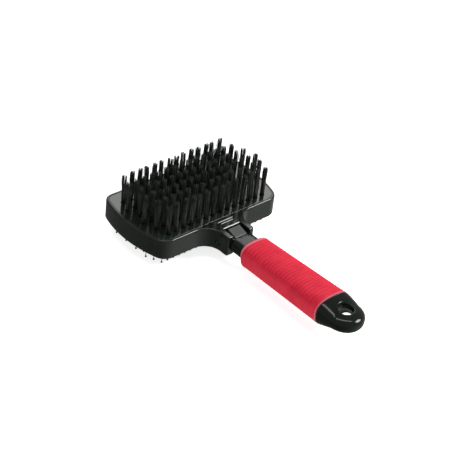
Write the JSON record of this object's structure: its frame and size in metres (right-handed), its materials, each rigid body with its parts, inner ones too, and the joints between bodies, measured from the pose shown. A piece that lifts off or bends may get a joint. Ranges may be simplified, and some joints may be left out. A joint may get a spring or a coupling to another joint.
{
  "type": "bristle brush",
  "caption": "Double-sided pet brush: stiff bristle tufts above, ball-ended wire pins below, on a removable head with a latch and a ribbed rubber grip.",
  "frame": {"origin": "under the middle of the brush's overall box, at the height of the pin tips it rests on", "axes": "+X across the head, +Y from the handle's end to the head's back edge, +Z from the pins to the bristles"},
  "size_m": [0.105, 0.1816, 0.0434],
  "materials": {
    "housing_black": "satin moulded",
    "plate_black": "matt moulded",
    "bristle_black": "stiff filament",
    "backing_black": "matt moulded",
    "cushion_rubber": "matt",
    "pin_steel": "drawn wire with dark ball tips",
    "catch_pin_dark": "blackened",
    "latch_grey": "satin moulded",
    "handle_black": "glossy moulded",
    "grip_red": "ribbed, matt"
  },
  "bodies": {
    "handle": {"handle_core": "handle_black", "grip_sleeve": "grip_red"},
    "head": {"head_frame": "housing_black", "bristle_plate": "plate_black", "bristle_row_1": "bristle_black", "bristle_row_2": "bristle_black", "bristle_row_3": "bristle_black", "bristle_row_4": "bristle_black", "bristle_row_5": "bristle_black", "bristle_row_6": "bristle_black", "bristle_corner_tuft_1": "bristle_black", "bristle_corner_tuft_2": "bristle_black", "bristle_corner_tuft_3": "bristle_black", "bristle_corner_tuft_4": "bristle_black", "pin_backing_plate": "backing_black", "pin_cushion": "cushion_rubber", "wire_pin_row_1": "pin_steel", "wire_pin_row_2": "pin_steel", "wire_pin_row_3": "pin_steel", "wire_pin_row_4": "pin_steel", "wire_pin_row_5": "pin_steel", "wire_pin_row_6": "pin_steel", "wire_pin_row_7": "pin_steel", "wire_pin_row_8": "pin_steel", "wire_pin_row_9": "pin_steel", "wire_pin_row_10": "pin_steel", "wire_corner_pin_1": "pin_steel", "wire_corner_pin_2": "pin_steel", "wire_corner_pin_3": "pin_steel", "wire_corner_pin_4": "pin_steel", "catch_pin": "catch_pin_dark"},
    "latch": {"release_latch": "latch_grey"}
  },
  "joints": [
    {"name": "head_slide", "type": "slide", "parent": "handle", "child": "head", "axis": [0, 1, 0], "range_m": [0, 0.03], "deforming": ["release_latch"]},
    {"name": "latch_press", "type": "hinge", "parent": "handle", "child": "latch", "pos_m": [0, 0.00795, 0.0113], "axis": [1, 0, 0], "range_deg": [-7, 0], "stiffness_Nm_per_rad": 0.01, "springref_deg": 3.44}
  ]
}
